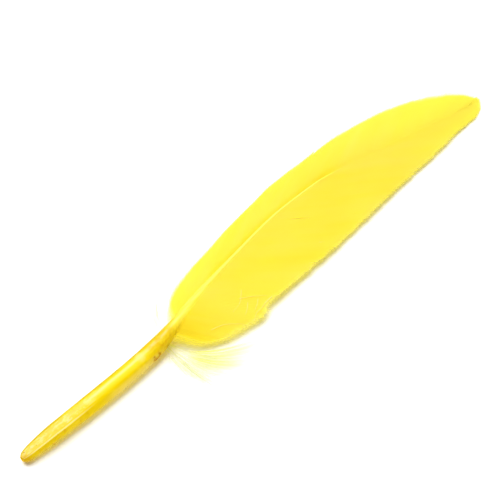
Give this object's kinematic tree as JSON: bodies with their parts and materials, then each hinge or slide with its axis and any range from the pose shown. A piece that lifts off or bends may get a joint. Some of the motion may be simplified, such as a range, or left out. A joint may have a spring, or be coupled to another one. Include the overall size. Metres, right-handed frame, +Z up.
{
  "type": "goose quill feather",
  "caption": "Wing feather lying loose: bare round quill, tapering ridge, a narrow and a wide vane of hooked barbs, and downy tufts at the foot of the vanes.",
  "frame": {"origin": "middle of the feather's outline, on the surface that it lies on", "axes": "+X from the quill end to the tip, +Y towards the narrow leading vane, +Z up out of the glossy outer side"},
  "size_m": [0.172, 0.0408, 0.0049],
  "materials": {
    "quill_horn": "glossy, slightly see-through dyed horn, amber at the quill end, pale along the ridge",
    "vane_barbs": "satin sheet of fine dyed barbs that lets light through",
    "down_fluff": "matt, very fine pale fluff"
  },
  "bodies": {
    "root": {"shaft": "quill_horn", "leading_vane": "vane_barbs", "trailing_vane": "vane_barbs", "leading_down": "down_fluff", "trailing_down": "down_fluff"}
  },
  "joints": []
}
